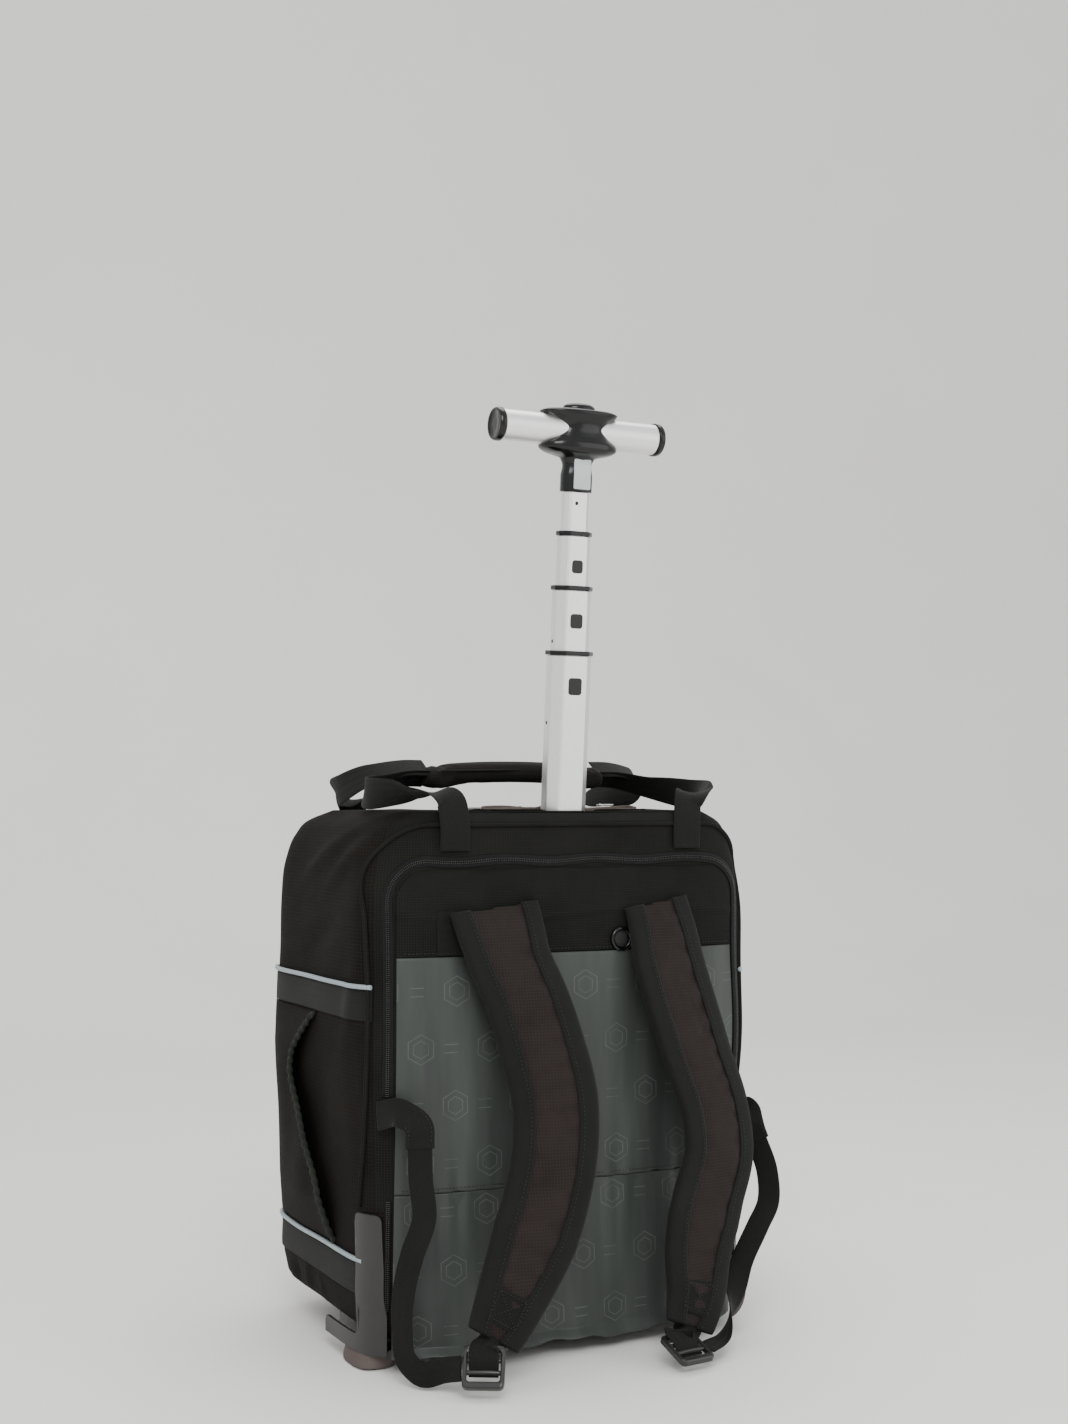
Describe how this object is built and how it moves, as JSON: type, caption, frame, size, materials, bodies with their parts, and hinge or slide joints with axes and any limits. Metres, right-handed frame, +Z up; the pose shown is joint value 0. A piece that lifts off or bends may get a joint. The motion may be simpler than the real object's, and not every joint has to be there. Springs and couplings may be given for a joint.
{
  "type": "wheeled backpack",
  "caption": "Soft dark rucksack with padded shoulder straps, two wheels in the rear corners and a telescopic pole with a T handle.",
  "frame": {"origin": "on the floor, under the middle of the whole outline", "axes": "+Z up along the bag's height, +Y from the harness face to the bag's front, +X to the wearer's right"},
  "size_m": [0.411, 0.3989, 0.8251],
  "materials": {
    "ripstop": "dark ripstop cloth with a fine grid",
    "webbing": "ribbed dark webbing and binding",
    "strap_cloth": "brownish charcoal ripstop with bound edges",
    "satin": "grey satin ripstop",
    "reflective": "light blue-grey reflective piping",
    "zip": "black tape with a light coil",
    "guard_plastic": "dark grey satin moulding",
    "black_plastic": "black moulding",
    "rubber": "black wheel tread",
    "aluminium": "bright anodised tube",
    "puller_metal": "bright plated metal"
  },
  "bodies": {
    "bag": {"bag_shell": "ripstop", "front_pocket": "ripstop", "side_pocket_left": "ripstop", "side_pocket_right": "ripstop", "yoke": "ripstop", "grip_wrap": "ripstop", "band_upper_left": "webbing", "band_upper_right": "webbing", "band_lower_left": "webbing", "band_lower_right": "webbing", "top_binding": "webbing", "strap_hood_left": "webbing", "strap_hood_right": "webbing", "strap_web_left": "webbing", "strap_web_right": "webbing", "handle_web_rear_left": "webbing", "handle_web_rear_right": "webbing", "handle_web_front_left": "webbing", "handle_web_front_right": "webbing", "shoulder_strap_left": "strap_cloth", "shoulder_strap_right": "strap_cloth", "back_panel": "satin", "wheel_flap": "satin", "piping_upper_left": "reflective", "piping_upper_right": "reflective", "piping_lower_left": "reflective", "piping_lower_right": "reflective", "zip_back": "zip", "zip_top": "zip", "corner_guard_left": "guard_plastic", "corner_guard_right": "guard_plastic", "eyelet": "black_plastic", "buckle_left": "black_plastic", "buckle_right": "black_plastic", "chassis": "black_plastic", "foot_left": "black_plastic", "foot_right": "black_plastic", "pole_channel": "aluminium", "zip_puller": "puller_metal", "axle_left": "puller_metal", "axle_right": "puller_metal"},
    "wheel_left": {"tyre_left": "rubber", "hub_left": "black_plastic"},
    "wheel_right": {"tyre_right": "rubber", "hub_right": "black_plastic"},
    "stage_1": {"tube_1": "aluminium", "collar_1": "black_plastic"},
    "stage_2": {"tube_2": "aluminium", "collar_2": "black_plastic"},
    "stage_3": {"tube_3": "aluminium", "collar_3": "black_plastic"},
    "stage_4": {"tube_4": "aluminium", "grip_hub": "black_plastic", "cross_bar": "aluminium", "bar_cap_left": "black_plastic", "bar_cap_right": "black_plastic"},
    "button": {"release_button": "black_plastic"}
  },
  "joints": [
    {"name": "wheel_left_spin", "type": "hinge", "parent": "bag", "child": "wheel_left", "pos_m": [-0.155, -0.01775, 0.035], "axis": [1, 0, 0], "continuous": true},
    {"name": "wheel_right_spin", "type": "hinge", "parent": "bag", "child": "wheel_right", "pos_m": [0.155, -0.01775, 0.035], "axis": [1, 0, 0], "continuous": true},
    {"name": "pole_slide_1", "type": "slide", "parent": "bag", "child": "stage_1", "axis": [0, -0.0872, 0.9962], "range_m": [-0.13, 0.04]},
    {"name": "pole_slide_2", "type": "slide", "parent": "stage_1", "child": "stage_2", "axis": [0, -0.0872, 0.9962], "range_m": [-0.05, 0.05]},
    {"name": "pole_slide_3", "type": "slide", "parent": "stage_2", "child": "stage_3", "axis": [0, -0.0872, 0.9962], "range_m": [-0.041, 0.05]},
    {"name": "pole_slide_4", "type": "slide", "parent": "stage_3", "child": "stage_4", "axis": [0, -0.0872, 0.9962], "range_m": [-0.032, 0.05]},
    {"name": "button_press", "type": "slide", "parent": "stage_4", "child": "button", "axis": [0, -0.0872, 0.9962], "range_m": [-0.0025, 0], "stiffness_N_per_m": 600}
  ]
}
